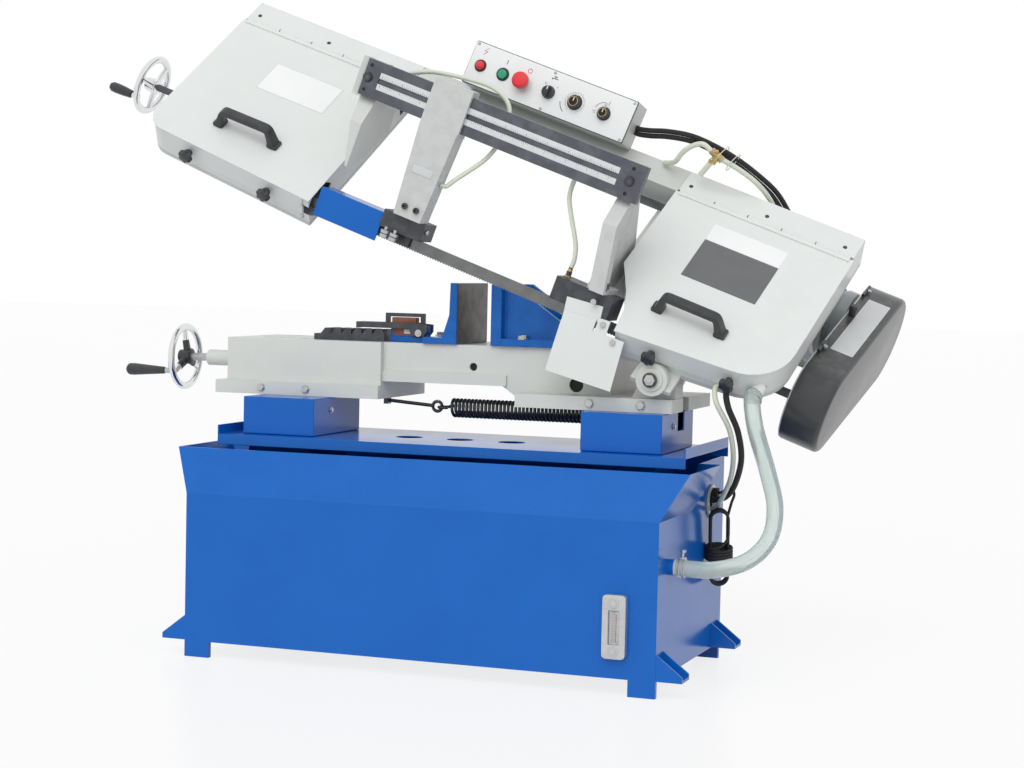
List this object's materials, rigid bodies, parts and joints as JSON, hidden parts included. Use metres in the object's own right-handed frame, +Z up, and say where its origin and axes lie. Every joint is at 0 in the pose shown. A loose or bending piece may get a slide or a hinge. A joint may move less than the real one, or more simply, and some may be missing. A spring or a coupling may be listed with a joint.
{
  "type": "horizontal metal-cutting band saw",
  "caption": "Horizontal band saw for metal: a bow with leaned wheel boxes, blade, guides and control panel, pivoted over a screw vise on a cabinet stand with coolant tank",
  "frame": {"origin": "on the floor, under the middle of the bounding box of the whole machine", "axes": "+Z up, +X to the right of the operator, towards the bow pivot, +Y away from the operator"},
  "size_m": [1.7978, 0.8432, 1.4672],
  "materials": {
    "stand_blue": "gloss",
    "casting_grey": "satin",
    "cover_grey": "satin",
    "black_plastic": "satin",
    "guard_black": "satin",
    "blackened_steel": "matte",
    "ground_steel": "brushed",
    "bright_metal": "polished",
    "bare_iron": "matte",
    "gearbox_red": "satin",
    "motor_grey": "satin",
    "black_rubber": "matte",
    "clear_hose": "clear",
    "milky_hose": "satin",
    "start_green": "gloss",
    "stop_red": "gloss",
    "gauge_metal": "satin"
  },
  "bodies": {
    "stand": {"cabinet": "stand_blue", "chip_pan": "stand_blue", "left_pedestal": "stand_blue", "right_pedestal": "stand_blue", "bed": "casting_grey", "level_gauge": "gauge_metal", "cable_gland": "black_rubber", "counter_spring": "blackened_steel", "pivot_shaft": "ground_steel", "drain_hose": "clear_hose", "coolant_hose": "milky_hose", "conduit": "black_rubber", "power_cord": "black_rubber", "cord_hank": "black_rubber"},
    "fixed_jaw": {"fixed_jaw": "stand_blue"},
    "vise_rack": {"vise_rack": "blackened_steel"},
    "moving_jaw": {"moving_jaw": "stand_blue"},
    "pawl_lever": {"pawl_lever": "blackened_steel"},
    "vise_wheel": {"vise_screw": "ground_steel", "vise_handwheel": "bright_metal"},
    "vise_grip": {"vise_grip": "black_plastic"},
    "bow": {"bow_frame": "casting_grey", "left_wheel_box": "casting_grey", "right_wheel_box": "casting_grey", "guide_bar": "ground_steel", "right_guide_post": "casting_grey", "right_guide_seat": "blackened_steel", "blade": "ground_steel", "chip_shield": "cover_grey", "control_box": "black_plastic", "gearbox": "gearbox_red", "motor": "motor_grey", "belt_guard_back": "casting_grey", "v_belt": "black_rubber", "left_guide_hose": "milky_hose", "right_guide_hose": "milky_hose", "bow_cables": "black_rubber"},
    "guide_arm": {"guide_arm": "casting_grey", "left_guide_seat": "blackened_steel", "blade_guard": "stand_blue"},
    "idler_carriage": {"idler_carriage": "blackened_steel"},
    "tension_wheel": {"tension_handwheel": "bright_metal"},
    "idler_wheel": {"idler_wheel": "bare_iron"},
    "drive_wheel": {"drive_wheel": "bare_iron"},
    "gearbox_pulley": {"gearbox_pulley": "bare_iron"},
    "motor_pulley": {"motor_pulley": "bare_iron"},
    "left_door": {"left_door": "cover_grey", "left_door_handle": "black_plastic"},
    "right_door": {"right_door": "cover_grey", "right_door_handle": "black_plastic"},
    "belt_cover": {"belt_cover": "guard_black"},
    "start_button": {"start_button": "start_green"},
    "stop_button": {"stop_button": "stop_red"},
    "coolant_switch": {"coolant_switch": "black_plastic"},
    "feed_dial": {"feed_dial": "black_plastic"},
    "feed_valve": {"feed_valve": "blackened_steel"},
    "left_knob_1": {"left_door_knob_1": "black_plastic"},
    "left_knob_2": {"left_door_knob_2": "black_plastic"},
    "right_knob_1": {"right_door_knob_1": "black_plastic"},
    "right_knob_2": {"right_door_knob_2": "black_plastic"}
  },
  "joints": [
    {"name": "bow_pivot", "type": "hinge", "parent": "stand", "child": "bow", "pos_m": [0.47894, -0.28334, 0.632], "axis": [0, 1, 0], "range_deg": [-20.3, 24.7], "deforming": ["counter_spring", "drain_hose", "coolant_hose", "conduit"]},
    {"name": "jaw_swivel", "type": "hinge", "parent": "stand", "child": "fixed_jaw", "pos_m": [0.09894, 0.02166, 0.7], "axis": [0, 0, 1], "range_deg": [0, 45]},
    {"name": "vise_turn", "type": "hinge", "parent": "stand", "child": "vise_wheel", "pos_m": [-0.68606, -0.10334, 0.635], "axis": [1, 0, 0], "range_deg": [-9000, 1800]},
    {"name": "rack_slide", "type": "slide", "parent": "stand", "child": "vise_rack", "axis": [1, 0, 0], "range_m": [-0.15, 0.03]},
    {"name": "jaw_slide", "type": "slide", "parent": "vise_rack", "child": "moving_jaw", "axis": [1, 0, 0], "range_m": [0, 0.048]},
    {"name": "pawl_lift", "type": "hinge", "parent": "moving_jaw", "child": "pawl_lever", "pos_m": [-0.09806, -0.10334, 0.707], "axis": [0, 1, 0], "range_deg": [0, 15]},
    {"name": "vise_grip_spin", "type": "hinge", "parent": "vise_wheel", "child": "vise_grip", "pos_m": [-0.70636, -0.16274, 0.604], "axis": [1, 0, 0], "continuous": true},
    {"name": "guide_arm_slide", "type": "slide", "parent": "bow", "child": "guide_arm", "axis": [0.9379, 0, -0.3469], "range_m": [-0.003, 0.225], "deforming": ["left_guide_hose"]},
    {"name": "tension_turn", "type": "hinge", "parent": "bow", "child": "tension_wheel", "pos_m": [-0.81127, -0.05212, 1.26303], "axis": [0.9379, 0, -0.3469], "range_deg": [-1080, 0]},
    {"name": "idler_slide", "type": "slide", "parent": "bow", "child": "idler_carriage", "axis": [0.9379, 0, -0.3469], "range_m": [0, 0.009]},
    {"name": "drive_spin", "type": "hinge", "parent": "bow", "child": "drive_wheel", "pos_m": [0.57515, -0.09304, 0.79697], "axis": [-0.2537, 0.682, -0.6859], "continuous": true},
    {"name": "idler_spin", "type": "hinge", "parent": "idler_carriage", "child": "idler_wheel", "pos_m": [-0.46685, -0.09304, 1.18241], "axis": [-0.2537, 0.682, -0.6859], "continuous": true},
    {"name": "gear_input_spin", "type": "hinge", "parent": "bow", "child": "gearbox_pulley", "pos_m": [0.75022, -0.01536, 0.58711], "axis": [0.9379, 0, -0.3469], "continuous": true},
    {"name": "motor_spin", "type": "hinge", "parent": "bow", "child": "motor_pulley", "pos_m": [0.80152, 0.31654, 0.72582], "axis": [0.9379, 0, -0.3469], "continuous": true},
    {"name": "left_door_hinge", "type": "hinge", "parent": "bow", "child": "left_door", "pos_m": [-0.40534, 0.03768, 1.34868], "axis": [0.9379, 0, -0.3469], "range_deg": [-110, 0]},
    {"name": "right_door_hinge", "type": "hinge", "parent": "bow", "child": "right_door", "pos_m": [0.63665, 0.03768, 0.96323], "axis": [0.9379, 0, -0.3469], "range_deg": [-110, 0]},
    {"name": "left_knob_1_turn", "type": "hinge", "parent": "left_door", "child": "left_knob_1", "pos_m": [-0.60582, -0.26485, 1.08632], "axis": [0.2366, 0.7314, 0.6396], "range_deg": [-180, 180]},
    {"name": "left_knob_2_turn", "type": "hinge", "parent": "left_door", "child": "left_knob_2", "pos_m": [-0.40417, -0.26485, 1.01173], "axis": [0.2366, 0.7314, 0.6396], "range_deg": [-180, 180]},
    {"name": "right_knob_1_turn", "type": "hinge", "parent": "right_door", "child": "right_knob_1", "pos_m": [0.47745, -0.26485, 0.68561], "axis": [0.2366, 0.7314, 0.6396], "range_deg": [-180, 180]},
    {"name": "right_knob_2_turn", "type": "hinge", "parent": "right_door", "child": "right_knob_2", "pos_m": [0.63689, -0.26485, 0.62663], "axis": [0.2366, 0.7314, 0.6396], "range_deg": [-180, 180]},
    {"name": "belt_cover_hinge", "type": "hinge", "parent": "bow", "child": "belt_cover", "pos_m": [0.76544, -0.05796, 0.67496], "axis": [0.1516, 0.8994, 0.4099], "range_deg": [-95, 0]},
    {"name": "start_button_press", "type": "slide", "parent": "bow", "child": "start_button", "axis": [-0.0483, 0.9903, -0.1305], "range_m": [0, 0.004], "stiffness_N_per_m": 400, "springref_m": -0.002},
    {"name": "stop_button_press", "type": "slide", "parent": "bow", "child": "stop_button", "axis": [-0.0483, 0.9903, -0.1305], "range_m": [0, 0.004], "stiffness_N_per_m": 400, "springref_m": -0.002},
    {"name": "coolant_switch_turn", "type": "hinge", "parent": "bow", "child": "coolant_switch", "pos_m": [0.14615, 0.01327, 1.24561], "axis": [-0.0483, 0.9903, -0.1305], "range_deg": [-45, 45]},
    {"name": "feed_dial_turn", "type": "hinge", "parent": "bow", "child": "feed_dial", "pos_m": [0.20805, 0.01327, 1.22271], "axis": [-0.0483, 0.9903, -0.1305], "range_deg": [-150, 150]},
    {"name": "feed_valve_turn", "type": "hinge", "parent": "bow", "child": "feed_valve", "pos_m": [0.27558, 0.01327, 1.19773], "axis": [-0.0483, 0.9903, -0.1305], "range_deg": [-90, 90]}
  ],
  "couplings": [
    {"joint": "rack_slide", "follows": "vise_turn", "m_per_rad": 0.00095493},
    {"joint": "idler_slide", "follows": "tension_turn", "m_per_rad": -0.00047746},
    {"joint": "idler_spin", "follows": "drive_spin", "ratio": 1},
    {"joint": "gear_input_spin", "follows": "drive_spin", "ratio": 30},
    {"joint": "motor_spin", "follows": "drive_spin", "ratio": 46.393}
  ]
}
